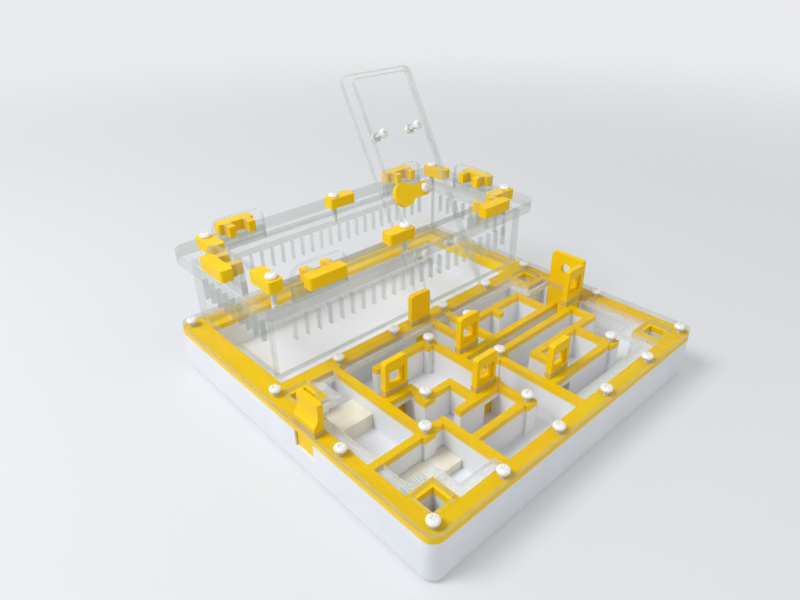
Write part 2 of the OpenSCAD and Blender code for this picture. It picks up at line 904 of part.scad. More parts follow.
module box_left_wall() {
    color(clear) upright(box_left, box_mid_y, -90) wall_shape(box_d - 2 * box_wall, [0]);
}

module box_right_wall() {
    color(clear) upright(box_right, box_mid_y, 90) wall_shape(box_d - 2 * box_wall, [0]);
}

// Slots for the tabs
module tab_slots() {
    w = tab_w + 2 * tab_gap;
    t = box_wall + 2 * tab_gap;
    for (x = [-tab_x, tab_x], y = [box_front + box_wall * half, box_back - box_wall * half])
        translate([box_mid_x + x, y]) square([w, t], center = true);
    for (x = [box_left + box_wall * half, box_right - box_wall * half])
        translate([x, box_mid_y]) square([t, w], center = true);
}

module flange_layer(z, l, w, r) {
    color(clear) difference() {
        translate([0, 0, z]) linear_extrude(layer_t) difference() {
            translate([box_mid_x, box_mid_y]) rounded(flange_w, flange_d, flange_r);
            translate([box_mid_x, box_mid_y]) rounded(l, w, r);
            tab_slots();
        }
        for (p = latch_places)
            translate([p[0], p[1], z - cut]) cylinder(r = screw_r + screw_gap, h = layer_t + 2 * cut);
    }
}

module flange_lower() {
    flange_layer(box_top, lower_l, lower_w, plug_r);
}

module flange_upper() {
    flange_layer(flange_mid, opening_l, opening_w, lid_r);
}

// A clip at the outer face of a tab: a bar with two prongs, the prongs pointing along +Y
module clip() {
    reach = box_wall + prong_out;
    translate([0, -gate_gap, clip_z]) linear_extrude(clip_h) union() {
        translate([0, -clip_d * half]) rounded(clip_l, clip_d, small_r);
        for (x = [-prong_x, prong_x])
            translate([x - prong_w * half, -small_r]) square([prong_w, reach + small_r + gate_gap]);
    }
}

module clip_at(x, y, turn) {
    color(yellow) translate([x, y, 0]) rotate([0, 0, turn]) clip();
}

module clip_front_left() {
    clip_at(box_mid_x - tab_x, box_front, 0);
}

module clip_front_right() {
    clip_at(box_mid_x + tab_x, box_front, 0);
}

module clip_back_left() {
    clip_at(box_mid_x - tab_x, box_back, 180);
}

module clip_back_right() {
    clip_at(box_mid_x + tab_x, box_back, 180);
}

module clip_left() {
    clip_at(box_left, box_mid_y, -90);
}

module clip_right() {
    clip_at(box_right, box_mid_y, 90);
}

// A latch that turns on its screw, pointing along +X at no turn
module latch_at(x, y, turn) {
    color(yellow) translate([x, y, latch_z]) rotate([0, 0, turn]) difference() {
        linear_extrude(latch_h) translate([latch_l * half - latch_end, 0]) rounded(latch_l, latch_w, small_r);
        translate([0, 0, -cut]) cylinder(r = screw_r + screw_gap, h = latch_h + 2 * cut);
    }
}

module latch_front_left() {
    latch_at(latch_left_x, latch_front_y, 90);
}

module latch_front_middle() {
    latch_at(box_mid_x, latch_front_y, 180);
}

module latch_front_right() {
    latch_at(latch_right_x, latch_front_y, 180);
}

module latch_back_left() {
    latch_at(latch_left_x, latch_back_y, -90);
}

module latch_back_middle() {
    latch_at(box_mid_x, latch_back_y, 0);
}

module latch_back_right() {
    latch_at(latch_right_x, latch_back_y, -90);
}

module latch_screws() {
    seat = latch_z + latch_h + gate_gap;
    color(nylon) for (p = latch_places)
        translate([p[0], p[1], seat]) pan_screw(seat - box_top + latch_reach);
}

// Places on the parked lid: across it, up it, and out of its back face towards the front
module on_lid(u, v, out) {
    translate([lid_left + lid_w * half, foot_y, foot_z]) rotate([-lid_lean, 0, 0])
        translate([u, 0, lid_l * half + v]) rotate([90, 0, 0]) translate([0, 0, out]) children();
}

module lid_holes(h) {
    for (p = concat(lid_pairs, [[0, 0]]))
        translate([p[0], p[1], -cut]) cylinder(r = screw_r + screw_gap, h = h + 2 * cut);
    translate([-feed_x, 0, -cut]) cylinder(r = feed_r, h = h + 2 * cut);
}

module lid_plate() {
    color(clear) on_lid(0, 0, 0) difference() {
        linear_extrude(lid_t) rounded(lid_w, lid_l, lid_r);
        lid_holes(lid_t);
    }
}

module lid_plug() {
    color(clear) on_lid(0, 0, lid_t) difference() {
        linear_extrude(lid_t) rounded(plug_w, plug_l, plug_r);
        lid_holes(lid_t);
    }
}

module lid_screws() {
    color(nylon) for (p = lid_pairs) on_lid(p[0], p[1], 2 * lid_t) pan_screw(2 * lid_t + nut_h);
}

module lid_nuts() {
    color(nylon) for (p = concat(lid_pairs, [[0, 0]])) on_lid(p[0], p[1], -nut_h) difference() {
        cylinder(d = nut_w / cos(30), h = nut_h, $fn = 6);
        translate([0, 0, -cut]) cylinder(r = screw_r + screw_gap, h = nut_h + 2 * cut);
    }
}

// The cover of the feeding hole: a disc on an arm
module feed_cover() {
    color(yellow) on_lid(0, 0, drop_z) difference() {
        linear_extrude(drop_t) union() {
            translate([-feed_x, 0]) circle(drop_r);
            translate([-feed_x, -drop_tip]) square([feed_x, 2 * drop_tip]);
            circle(drop_tip);
        }
        translate([0, 0, -cut]) cylinder(r = screw_r + screw_gap, h = drop_t + 2 * cut);
    }
}

module feed_cover_screw() {
    seat = drop_z + drop_t + gate_gap;
    color(nylon) on_lid(0, 0, seat) pan_screw(seat + nut_h);
}

// Moves the front corner of the base to its place beside the origin
module placed() {
    translate([-mid_x, -mid_y, 0]) children();
}

placed() base_tray();
placed() reservoir_sponge();
placed() nest_floor();
placed() nest_rim();
placed() nest_walls();
placed() nest_walls_right();
placed() moisture_pad_left();
placed() moisture_pad_front();
placed() top_frame();
placed() cover_plate();
placed() water_strip_left();
placed() water_strip_front();
placed() water_strip_right();
placed() water_strip_back();
placed() cover_screws();
placed() gate_west();
placed() gate_middle();
placed() gate_south();
placed() gate_east();
placed() gate_yard();
placed() gate_right();
placed() port_slide_left();
placed() port_slide_right();
placed() box_front_wall();
placed() box_back_wall();
placed() box_left_wall();
placed() box_right_wall();
placed() flange_lower();
placed() flange_upper();
placed() clip_front_left();
placed() clip_front_right();
placed() clip_back_left();
placed() clip_back_right();
placed() clip_left();
placed() clip_right();
placed() latch_front_left();
placed() latch_front_middle();
placed() latch_front_right();
placed() latch_back_left();
placed() latch_back_middle();
placed() latch_back_right();
placed() latch_screws();
placed() lid_plate();
placed() lid_plug();
placed() lid_screws();
placed() lid_nuts();
placed() feed_cover();
placed() feed_cover_screw();
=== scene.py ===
import json
import math
import bmesh
import bpy
from mathutils import Matrix, Vector


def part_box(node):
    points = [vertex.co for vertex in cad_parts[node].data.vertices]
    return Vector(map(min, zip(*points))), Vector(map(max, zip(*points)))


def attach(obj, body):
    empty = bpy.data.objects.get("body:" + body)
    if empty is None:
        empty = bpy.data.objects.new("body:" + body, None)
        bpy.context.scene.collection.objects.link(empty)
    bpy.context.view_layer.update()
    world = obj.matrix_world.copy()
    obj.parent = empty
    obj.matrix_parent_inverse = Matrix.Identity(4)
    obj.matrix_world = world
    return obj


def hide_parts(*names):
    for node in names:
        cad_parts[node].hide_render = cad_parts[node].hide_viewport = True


# Ant habitat: white moulded nest in a tray, yellow frame and gates, clear acrylic cover, box and lid.
# Lengths are real millimetres times mm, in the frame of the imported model.
mm = 0.001
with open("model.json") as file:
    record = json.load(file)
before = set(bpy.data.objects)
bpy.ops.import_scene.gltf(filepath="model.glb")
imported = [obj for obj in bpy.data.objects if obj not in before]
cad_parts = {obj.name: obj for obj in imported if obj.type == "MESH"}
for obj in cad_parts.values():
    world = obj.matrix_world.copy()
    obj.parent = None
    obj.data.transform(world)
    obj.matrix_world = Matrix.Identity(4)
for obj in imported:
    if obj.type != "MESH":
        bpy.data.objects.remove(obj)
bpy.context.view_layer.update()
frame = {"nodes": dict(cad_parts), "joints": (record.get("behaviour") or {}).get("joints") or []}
nodes = frame["nodes"]
joints = {joint["name"]: joint for joint in frame["joints"]}

scene = bpy.context.scene
scene.view_settings.view_transform = "Standard"
scene.cycles.transparent_max_bounces = 64              # box, lid and flanges lie many clear sheets deep


def linear(hexColour):
    # sRGB hex to the linear colour that the shaders take
    parts = [int(hexColour[i:i + 2], 16) / 255 for i in (1, 3, 5)]
    return tuple(c / 12.92 if c <= 0.04045 else ((c + 0.055) / 1.055) ** 2.4 for c in parts) + (1.0,)


def addNode(tree, kind, settings=None, inputs=None):
    # adds one shader node, with its settings and with values or links on its sockets
    node = tree.nodes.new("ShaderNode" + kind)
    for name, value in (settings or {}).items():
        setattr(node, name, value)
    for name, value in (inputs or {}).items():
        if isinstance(value, bpy.types.NodeSocket):
            tree.links.new(value, node.inputs[name])
        else:
            node.inputs[name].default_value = value
    return node


def startMaterial(name):
    material = bpy.data.materials.new(name)
    material.use_nodes = True
    material.node_tree.nodes.clear()
    return material, material.node_tree


def endMaterial(tree, shader):
    output = tree.nodes.new("ShaderNodeOutputMaterial")
    tree.links.new(shader.outputs[0], output.inputs["Surface"])


def seenRays(tree):
    # 1 where a ray comes from the camera, a mirror or a clear sheet, and 0 for light that bounces on
    paths = addNode(tree, "LightPath").outputs
    seen = paths["Is Camera Ray"]
    for kind in ("Is Glossy Ray", "Is Transmission Ray"):
        seen = addNode(tree, "Math", {"operation": "MAXIMUM"}, {0: seen, 1: paths[kind]}).outputs["Value"]
    return seen


def twoColours(tree, factor, low, high, spread=(0.35, 0.65)):
    # a ramp between two hex colours, driven by a pattern
    ramp = addNode(tree, "ValToRGB", {}, {"Fac": factor})
    ramp.color_ramp.elements[0].position = spread[0]
    ramp.color_ramp.elements[1].position = spread[1]
    ramp.color_ramp.elements[0].color = linear(low)
    ramp.color_ramp.elements[1].color = linear(high)
    return ramp.outputs["Color"]


def perSize(size):
    # pattern scale for one repeat every size millimetres
    return 1 / (size * mm)


# Moulded plastics

abs_ = {
    "grain": 0.35,        # spark-eroded mould grain; drawn a little coarse, so that it shows
    "flow": 26,           # slow change of tone where the plastic flowed
    "grainDepth": 0.004,
    "wear": 3.2,          # handling marks
    "duller": 0.06,       # how far the marks move the roughness, up
    "glossier": 0.05,     # and down
    "ior": 1.53,
}


def mouldedAbs(name, look):
    # injection-moulded ABS: satin skin over fine grain, with soft highlights along the edges
    material, tree = startMaterial(name)
    place = addNode(tree, "TexCoord").outputs["Object"]
    flow = addNode(tree, "TexNoise", {}, {"Vector": place, "Scale": perSize(abs_["flow"]), "Detail": 3.0})
    marks = addNode(tree, "TexNoise", {}, {"Vector": place, "Scale": perSize(abs_["wear"]), "Detail": 6.0,
                                           "Roughness": 0.65})
    grain = addNode(tree, "TexNoise", {}, {
        "Vector": place, "Scale": perSize(abs_["grain"]), "Detail": 2.0})
    tone = twoColours(tree, flow.outputs["Fac"], look["low"], look["high"])
    gloss = addNode(tree, "MapRange", {}, {
        "Value": marks.outputs["Fac"], "From Min": 0.3, "From Max": 0.7,
        "To Min": look["roughness"] - abs_["glossier"], "To Max": look["roughness"] + abs_["duller"]})
    bump = addNode(tree, "Bump", {}, {"Height": grain.outputs["Fac"], "Strength": look["grain"],
                                      "Distance": abs_["grainDepth"] * mm})
    shader = addNode(tree, "BsdfPrincipled", {}, {
        "Base Color": tone, "Roughness": gloss.outputs["Result"], "IOR": abs_["ior"],
        "Normal": bump.outputs["Normal"],
        "Subsurface Weight": look["glow"], "Subsurface Scale": look["glowDepth"] * mm,
        "Subsurface Radius": look["glowColour"], "Specular IOR Level": look["gloss"]})
    endMaterial(tree, shader)
    return material


whiteAbs = mouldedAbs("whiteMouldedAbs", {
    "low": "#EBEEF3", "high": "#F1F3F7", "roughness": 0.42, "grain": 0.5, "gloss": 0.4,
    "glow": 0.12, "glowDepth": 1.2, "glowColour": (1.0, 0.95, 0.9)})
yellowAbs = mouldedAbs("yellowMouldedAbs", {
    "low": "#FDCC00", "high": "#FFD600", "roughness": 0.36, "grain": 0.5, "gloss": 0.18,
    "glow": 0.10, "glowDepth": 1.0, "glowColour": (1.0, 0.62, 0.05)})


nylonLook = {
    "cloud": 2.5, "cloudDepth": 0.02, "low": "#F3F1EA", "high": "#FBFAF6", "roughness": 0.32, "ior": 1.53,
    "glow": 0.6, "glowDepth": 2.6, "glowColour": (1.0, 0.97, 0.92),
}


def naturalNylon():
    # uncoloured nylon 66: milky, a little see-through at thin edges
    material, tree = startMaterial("naturalNylon")
    place = addNode(tree, "TexCoord").outputs["Object"]
    cloud = addNode(tree, "TexNoise", {}, {"Vector": place, "Scale": perSize(nylonLook["cloud"]),
                                           "Detail": 4.0})
    tone = twoColours(tree, cloud.outputs["Fac"], nylonLook["low"], nylonLook["high"])
    bump = addNode(tree, "Bump", {}, {
        "Height": cloud.outputs["Fac"], "Strength": 0.2, "Distance": nylonLook["cloudDepth"] * mm})
    shader = addNode(tree, "BsdfPrincipled", {}, {
        "Base Color": tone, "Roughness": nylonLook["roughness"], "IOR": nylonLook["ior"],
        "Normal": bump.outputs["Normal"], "Subsurface Weight": nylonLook["glow"],
        "Subsurface Scale": nylonLook["glowDepth"] * mm, "Subsurface Radius": nylonLook["glowColour"]})
    endMaterial(tree, shader)
    return material


plasterLook = {
    "damp": 9,            # patches where it is damp
    "pore": 1.1, "poreDepth": 0.08, "low": "#E6E0CB", "high": "#F3EFE0", "roughness": 0.86, "ior": 1.52,
}


def castPlaster():
    # dental plaster: matt, chalky, with small air pores
    material, tree = startMaterial("castPlaster")
    place = addNode(tree, "TexCoord").outputs["Object"]
    damp = addNode(tree, "TexNoise", {}, {"Vector": place, "Scale": perSize(plasterLook["damp"]),
                                          "Detail": 5.0})
    pores = addNode(tree, "TexVoronoi", {}, {"Vector": place, "Scale": perSize(plasterLook["pore"])})
    pit = addNode(tree, "MapRange", {}, {
        "Value": pores.outputs["Distance"], "From Min": 0.0, "From Max": 0.22})
    tone = twoColours(tree, damp.outputs["Fac"], plasterLook["low"], plasterLook["high"])
    bump = addNode(tree, "Bump", {}, {
        "Height": pit.outputs["Result"], "Strength": 0.6, "Distance": plasterLook["poreDepth"] * mm})
    shader = addNode(tree, "BsdfPrincipled", {}, {
        "Base Color": tone, "Roughness": plasterLook["roughness"], "IOR": plasterLook["ior"],
        "Normal": bump.outputs["Normal"]})
    endMaterial(tree, shader)
    return material


spongeLook = {
    "cell": 0.9, "cellDepth": 0.3, "low": "#A89C80", "high": "#D8CDB2", "roughness": 0.6, "ior": 1.4,
}


def wetSponge():
    # open-cell cellulose sponge, seen only down the wells
    material, tree = startMaterial("wetSponge")
    place = addNode(tree, "TexCoord").outputs["Object"]
    cells = addNode(tree, "TexVoronoi", {}, {"Vector": place, "Scale": perSize(spongeLook["cell"])})
    tone = twoColours(tree, cells.outputs["Distance"], spongeLook["low"], spongeLook["high"], (0.1, 0.5))
    bump = addNode(tree, "Bump", {}, {
        "Height": cells.outputs["Distance"], "Strength": 0.8, "Distance": spongeLook["cellDepth"] * mm})
    shader = addNode(tree, "BsdfPrincipled", {}, {
        "Base Color": tone, "Roughness": spongeLook["roughness"], "IOR": spongeLook["ior"],
        "Normal": bump.outputs["Normal"]})
    endMaterial(tree, shader)
    return material


# Clear sheets

acrylic = {
    "shadow": 0.015,      # share of the light that a sheet's face keeps back
    "edgeShadow": 0.08,   # and that a cut edge keeps back
    "flatFace": 0.008,    # how much a level face mirrors when seen straight on
    "wallFace": 0.024,    # and a standing one, which has the pale room behind it
    "faceSheen": 0.6,     # how much more it mirrors when seen edge-on
    "falloff": 5.0,       # how late that mirroring sets in
    "edge": 0.34,         # how much of a cut edge shows
    "corner": 0.95,       # how much shows of the thin line where a face meets an edge, which has a painted highlight where it tilts up and painted shade elsewhere
    "paintedEdgeGlow": 0.04,        # a painted glow at the cut edges, as if light carried inside the sheet came out there; it brightens edges and holes even in shade
    "cutStep": 0.4,       # ripple along a cut edge, one every 0.4 mm
    "cutDepth": 0.02,
    "haze": 14,           # slow change of tone along the edges
    # the fourth tone below is the colour of the painted glow at the cut edges
    "cutLow": "#98A39D", "cutHigh": "#BCC6C0", "faceTone": "#DFE6E2", "paintedEdgeGlowTone": "#E8F0EA",
    # the three tones below are the corner line's painted highlight, for level and for standing sheets, and
    # its painted shade
    "paintedLitLevel": "#FBFCFB", "paintedLitWall": "#8A958F", "paintedShadeLine": "#525D58",
    "faceRough": 0.03, "cutRough": 0.2,
    "wholeEdge": 0.5,     # share of the sheet's normal below which a face is all cut edge
    "wholeFace": 0.95,    # and above which it is all face
    "cornerNear": 0.1, "cornerFar": 0.24,              # how far round 45 degrees the corner line reaches
    "paintedShadeTilt": 0.25, "paintedLitTilt": 0.6,                  # upward tilt over which that line goes from painted shade to painted highlight
}


def clearAcrylic(name, sheetNormal, face, paintedLitLine):
    # cast acrylic: glass-clear faces that mirror at a flat angle, cut edges that look milky and
    # grey-green, and a crisp line where a face meets an edge, with a painted highlight where it tilts up
    # and painted shade elsewhere
    material, tree = startMaterial(name)
    place = addNode(tree, "TexCoord").outputs["Object"]
    facing = addNode(tree, "NewGeometry").outputs["Normal"]
    across = addNode(tree, "VectorMath", {"operation": "DOT_PRODUCT"}, {0: facing, 1: sheetNormal})
    flat = addNode(tree, "Math", {"operation": "ABSOLUTE"}, {0: across.outputs["Value"]})
    edge = addNode(tree, "MapRange", {}, {
        "Value": flat.outputs["Value"], "From Min": acrylic["wholeEdge"], "From Max": acrylic["wholeFace"],
        "To Min": 1.0, "To Max": 0.0}).outputs["Result"]
    ripple = addNode(tree, "TexNoise", {}, {
        "Vector": place, "Scale": perSize(acrylic["cutStep"]), "Detail": 1.0})
    haze = addNode(tree, "TexNoise", {}, {
        "Vector": place, "Scale": perSize(acrylic["haze"]), "Detail": 3.0})
    gloss = addNode(tree, "MapRange", {}, {
        "Value": edge, "To Min": acrylic["faceRough"], "To Max": acrylic["cutRough"]})
    shine = addNode(tree, "MapRange", {}, {"Value": edge, "To Min": 1.0, "To Max": 0.0})
    cutTone = twoColours(tree, haze.outputs["Fac"], acrylic["cutLow"], acrylic["cutHigh"], (0.3, 0.7))
    fromCorner = addNode(tree, "Math", {"operation": "SUBTRACT"},
                         {0: flat.outputs["Value"], 1: math.cos(math.radians(45))})
    fromCorner = addNode(tree, "Math", {"operation": "ABSOLUTE"}, {0: fromCorner.outputs["Value"]})
    corner = addNode(tree, "MapRange", {}, {
        "Value": fromCorner.outputs["Value"],
        "From Min": acrylic["cornerNear"], "From Max": acrylic["cornerFar"],
        "To Min": acrylic["corner"], "To Max": 0.0}).outputs["Result"]
    # the corner line's tone: a painted highlight where it tilts up, painted shade where it faces sideways
    # or down
    tilt = addNode(tree, "VectorMath", {"operation": "DOT_PRODUCT"}, {0: facing, 1: (0, 0, 1)})
    paintedLightLine = twoColours(tree, tilt.outputs["Value"], acrylic["paintedShadeLine"], paintedLitLine,
                          (acrylic["paintedShadeTilt"], acrylic["paintedLitTilt"]))
    cutTone = addNode(tree, "Mix", {"data_type": "RGBA"}, {0: corner, 6: cutTone, 7: paintedLightLine}).outputs[2]
    tone = addNode(tree, "Mix", {"data_type": "RGBA"}, {
        0: edge, 6: linear(acrylic["faceTone"]), 7: cutTone})
    depth = addNode(tree, "Math", {"operation": "MULTIPLY"}, {0: ripple.outputs["Fac"], 1: edge})
    bump = addNode(tree, "Bump", {}, {
        "Height": depth.outputs["Value"], "Strength": 0.4, "Distance": acrylic["cutDepth"] * mm})
    slant = addNode(tree, "LayerWeight", {}, {"Blend": 0.5}).outputs["Facing"]
    mirror = addNode(tree, "Math", {"operation": "POWER"}, {0: slant, 1: acrylic["falloff"]})
    sheen = addNode(tree, "Math", {"operation": "MULTIPLY_ADD"},
                    {0: mirror.outputs["Value"], 1: acrylic["faceSheen"], 2: face})
    shown = addNode(tree, "MapRange", {}, {
        "Value": edge, "To Min": sheen.outputs["Value"], "To Max": acrylic["edge"]})
    shown = addNode(tree, "Math", {"operation": "MAXIMUM"}, {0: shown.outputs["Result"], 1: corner})
    # a painted glow at the cut edges: an emission that stands in for light carried inside the sheet
    paintedEdgeGlow = addNode(tree, "Math", {"operation": "MULTIPLY"}, {0: edge, 1: acrylic["paintedEdgeGlow"]})
    shade = addNode(tree, "LightPath").outputs["Is Shadow Ray"]
    veil = addNode(tree, "MapRange", {}, {"Value": edge, "To Min": acrylic["shadow"],
                                         "To Max": acrylic["edgeShadow"]})
    alpha = addNode(tree, "MapRange", {}, {"Value": shade, "To Min": shown.outputs["Value"],
                                          "To Max": veil.outputs["Result"]})
    shader = addNode(tree, "BsdfPrincipled", {}, {
        "Base Color": tone.outputs[2], "Roughness": gloss.outputs["Result"],
        "Metallic": shine.outputs["Result"], "Normal": bump.outputs["Normal"],
        "Alpha": alpha.outputs["Result"], "Emission Color": linear(acrylic["paintedEdgeGlowTone"]),
        "Emission Strength": paintedEdgeGlow.outputs["Value"]})
    endMaterial(tree, shader)
    return material


ribLook = {
    "rib": 1.3, "ribDepth": 0.1, "low": "#DDE2DB", "high": "#F6F8F5", "roughness": 0.3, "ior": 1.49,
    "edge": 0.55, "face": 0.42,                        # how much of an edge and of a face shows
}


def ribbedAcrylic(name):
    # the strips under the cover: clear, but ribbed along their length, so that they look frosted
    material, tree = startMaterial(name)
    place = addNode(tree, "TexCoord").outputs["Object"]
    facing = addNode(tree, "NewGeometry").outputs["Normal"]
    ribs = addNode(tree, "TexNoise", {}, {
        "Vector": place, "Scale": perSize(ribLook["rib"]), "Detail": 2.0})
    up = addNode(tree, "VectorMath", {"operation": "DOT_PRODUCT"}, {0: facing, 1: (0, 0, 1)})
    flat = addNode(tree, "Math", {"operation": "ABSOLUTE"}, {0: up.outputs["Value"]})
    shown = addNode(tree, "MapRange", {}, {
        "Value": flat.outputs["Value"], "From Min": acrylic["wholeEdge"], "From Max": acrylic["wholeFace"],
        "To Min": ribLook["edge"], "To Max": ribLook["face"]})
    tone = twoColours(tree, ribs.outputs["Fac"], ribLook["low"], ribLook["high"])
    bump = addNode(tree, "Bump", {}, {
        "Height": ribs.outputs["Fac"], "Strength": 0.5, "Distance": ribLook["ribDepth"] * mm})
    shade = addNode(tree, "LightPath").outputs["Is Shadow Ray"]
    alpha = addNode(tree, "MapRange", {}, {"Value": shade, "To Min": shown.outputs["Result"],
                                          "To Max": acrylic["edgeShadow"]})
    shader = addNode(tree, "BsdfPrincipled", {}, {
        "Base Color": tone, "Roughness": ribLook["roughness"], "IOR": ribLook["ior"],
        "Normal": bump.outputs["Normal"], "Alpha": alpha.outputs["Result"]})
    endMaterial(tree, shader)
    return material


lean = Vector(joints["lid_lift"]["axis"])              # up the parked lid
lidOut = Vector((0, -lean.z, lean.y))                  # out of the lid's front face
ribbed = ribbedAcrylic("ribbedAcrylic")
# the last argument is the painted highlight tone of the corner line for each kind of sheet
sheetZ = clearAcrylic("clearAcrylicFlat", (0, 0, 1), acrylic["flatFace"], acrylic["paintedLitLevel"])
sheetY = clearAcrylic("clearAcrylicAcross", (0, 1, 0), acrylic["wallFace"], acrylic["paintedLitWall"])
sheetX = clearAcrylic("clearAcrylicSide", (1, 0, 0), acrylic["wallFace"], acrylic["paintedLitWall"])
sheetLid = clearAcrylic("clearAcrylicLid", tuple(lidOut), acrylic["wallFace"], acrylic["paintedLitWall"])
nylon = naturalNylon()
plaster = castPlaster()
sponge = wetSponge()
print("materials made")

# Which finish each node takes, and how round its edges are, in millimetres

finishes = {
    "base_tray": (whiteAbs, 0.7), "nest_floor": (whiteAbs, 0.1), "nest_rim": (whiteAbs, 0.4),
    "nest_walls": (whiteAbs, 0.2), "nest_walls_right": (whiteAbs, 0.2), "top_frame": (yellowAbs, 0.25),
    "reservoir_sponge": (sponge, 0.3),
    "moisture_pad_left": (plaster, 0.5), "moisture_pad_front": (plaster, 0.5),
    "cover_plate": (sheetZ, 0.25), "flange_lower": (sheetZ, 0.25), "flange_upper": (sheetZ, 0.25),
    "box_front_wall": (sheetY, 0.2), "box_back_wall": (sheetY, 0.2),
    "box_left_wall": (sheetX, 0.2), "box_right_wall": (sheetX, 0.2),
    "lid_plate": (sheetLid, 0.25), "lid_plug": (sheetLid, 0.25),
    "lid_nuts": (nylon, 0.15), "feed_cover": (yellowAbs, 0.35),
}
for name in nodes:
    if name.startswith(("gate", "port_slide")):
        finishes[name] = (yellowAbs, 0.45)
    elif name.startswith(("clip", "latch")) and "screw" not in name:
        finishes[name] = (yellowAbs, 0.5)
    elif name.startswith("water_strip"):
        finishes[name] = (ribbed, 0.2)
    elif "screw" in name:
        finishes[name] = (nylon, 0.1)


rounding = {"flatWithin": 0.5, "sharpFrom": 38, "segments": 2}     # both angles in degrees


def dress(name, material, edgeRound):
    piece = nodes[name]
    piece.data.materials.clear()
    piece.data.materials.append(material)
    tidy = piece.modifiers.new("flatFaces", "DECIMATE")
    tidy.decimate_type = "DISSOLVE"
    tidy.angle_limit = math.radians(rounding["flatWithin"])
    edge = piece.modifiers.new("edgeRound", "BEVEL")
    edge.width = edgeRound * mm
    edge.segments = rounding["segments"]
    edge.limit_method = "ANGLE"
    edge.angle_limit = math.radians(rounding["sharpFrom"])
    edge.harden_normals = True


for name, (material, edgeRound) in finishes.items():
    dress(name, material, edgeRound)
print("nodes dressed:", len(finishes))

# Nylon screws, with domed heads, cross recesses and threads

screw = {
    "headRadius": 2.95, "headHeight": 2.1, "shank": 1.5, "root": 1.22,
    "pitch": 0.7,         # M3 has 0.5; drawn coarser, so that it shows
    "crossWidth": 0.75, "crossSpan": 2.9, "crossDepth": 0.75,
    "around": 24, "steps": 6,                          # points round a ring, and rings in one turn
    "rimShare": 0.28,     # height of the head's straight rim, as a share of the head
    "rimFoot": 0.97, "rimFootHeight": 0.12,            # its foot is drawn in a little
    "domeRings": 8, "domeSwell": 0.72,                 # below 1 makes the dome fuller than a ball
    "spin": 2.4,          # radians from one screw's cross to the next one's
    "splitAngle": 42,
}


def screwMesh(length):
    # head seat at z = 0, shank along -Z: one surface of rings from the tip up to the crown
    rings = []
    turns = int(length / screw["pitch"])
    for i in range(turns * screw["steps"] + 1):
        rings.append((-length + i * screw["pitch"] / screw["steps"], i))
    mesh = bmesh.new()
    rows = []
    around = screw["around"]
    for z, i in rings:
        row = []
        for k in range(around):
            angle = 2 * math.pi * k / around
            phase = (i / screw["steps"] - k / around) % 1
            radius = screw["root"] + (screw["shank"] - screw["root"]) * (1 - abs(2 * phase - 1))
            if z > -screw["pitch"]:
                radius = screw["shank"]
            row.append(mesh.verts.new(
                (radius * mm * math.cos(angle), radius * mm * math.sin(angle), z * mm)))
        rows.append(row)
    # the head: flat seat, short straight rim, then a dome
    rim = screw["rimShare"] * screw["headHeight"]
    profile = [(screw["headRadius"] * screw["rimFoot"], 0),
               (screw["headRadius"], screw["rimFootHeight"]), (screw["headRadius"], rim)]
    for i in range(1, screw["domeRings"]):
        a = math.radians(90 * i / screw["domeRings"])
        profile.append((screw["headRadius"] * math.cos(a) ** screw["domeSwell"],
                        rim + (screw["headHeight"] - rim) * math.sin(a)))
    for radius, z in profile:
        rows.append([mesh.verts.new((radius * mm * math.cos(2 * math.pi * k / around),
                                     radius * mm * math.sin(2 * math.pi * k / around), z * mm))
                     for k in range(around)])
    for low, high in zip(rows, rows[1:]):
        for k in range(around):
            mesh.faces.new((low[k], low[(k + 1) % around], high[(k + 1) % around], high[k]))
    mesh.faces.new(list(reversed(rows[0])))
    mesh.faces.new(rows[-1])
    data = bpy.data.meshes.new("screw")
    mesh.to_mesh(data)
    mesh.free()
    return data


def cutCross(data):
    # sinks the cross into the crown
    body = bpy.data.objects.new("screwBlank", data)
    scene.collection.objects.link(body)
    cutter = bmesh.new()
    for turn in (0, 90):
        bar = bmesh.ops.create_cube(cutter, size=1)["verts"]
        size = (screw["crossSpan"] * mm, screw["crossWidth"] * mm, 2 * screw["crossDepth"] * mm)
        bmesh.ops.scale(cutter, vec=size, verts=bar)
        bmesh.ops.rotate(cutter, matrix=Matrix.Rotation(math.radians(turn), 3, "Z"), verts=bar)
        bmesh.ops.translate(cutter, vec=(0, 0, screw["headHeight"] * mm), verts=bar)
    cutData = bpy.data.meshes.new("cross")
    cutter.to_mesh(cutData)
    cutter.free()
    tool = bpy.data.objects.new("crossCutter", cutData)
    scene.collection.objects.link(tool)
    cut = body.modifiers.new("cross", "BOOLEAN")
    cut.operation = "DIFFERENCE"
    cut.solver = "EXACT"
    cut.use_self = True
    cut.object = tool
    bpy.context.view_layer.update()
    done = bpy.data.meshes.new_from_object(body.evaluated_get(bpy.context.evaluated_depsgraph_get()))
    bpy.data.objects.remove(body)
    bpy.data.objects.remove(tool)
    return done


def islands(name):
    # the separate solids of a node, each as a list of points
    points = {}
    owner = {}

    def find(key):
        while owner[key] != key:
            key = owner[key]
        return key

    data = nodes[name].data
    keys = [tuple(round(c * 1e6) for c in v.co) for v in data.vertices]
    for key, v in zip(keys, data.vertices):
        owner.setdefault(key, key)
        points[key] = v.co.copy()
    for edge in data.edges:
        a, b = find(keys[edge.vertices[0]]), find(keys[edge.vertices[1]])
        owner[a] = b
    groups = {}
    for key in points:
        groups.setdefault(find(key), []).append(points[key])
    return list(groups.values())


